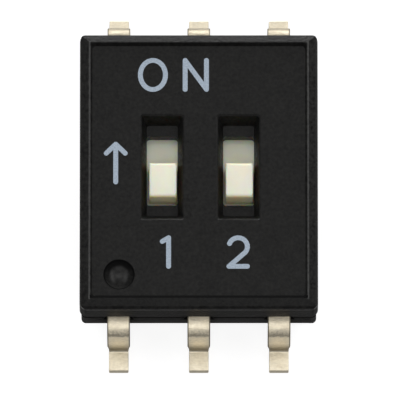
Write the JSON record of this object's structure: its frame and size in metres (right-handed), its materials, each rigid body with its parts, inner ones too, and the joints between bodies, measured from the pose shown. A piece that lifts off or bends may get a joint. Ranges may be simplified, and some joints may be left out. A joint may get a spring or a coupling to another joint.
{
  "type": "dip switch",
  "caption": "Surface-mount slide DIP switch: a flat black body with ivory sliders in recessed slots and gull-wing leads.",
  "frame": {"origin": "on the board under the middle of the body, with the soles of the feet at Z = 0", "axes": "+X across the two switches, +Y towards their ON end, +Z away from the board"},
  "size_m": [0.0076, 0.0116, 0.0032],
  "materials": {
    "body": "fine matte moulding",
    "slider": "smooth moulding",
    "spring": "rolled strip",
    "lead": "tinned strip"
  },
  "bodies": {
    "housing": {"cover": "body", "base": "body", "terminal_1": "lead", "terminal_2": "lead", "terminal_3": "lead", "terminal_4": "lead", "terminal_5": "lead", "terminal_6": "lead"},
    "switch_1": {"slider_1": "slider", "contact_1": "spring"},
    "switch_2": {"slider_2": "slider", "contact_2": "spring"}
  },
  "joints": [
    {"name": "slider_1_slide", "type": "slide", "parent": "housing", "child": "switch_1", "axis": [0, 1, 0], "range_m": [0, 0.00078]},
    {"name": "slider_2_slide", "type": "slide", "parent": "housing", "child": "switch_2", "axis": [0, 1, 0], "range_m": [0, 0.00078]}
  ]
}
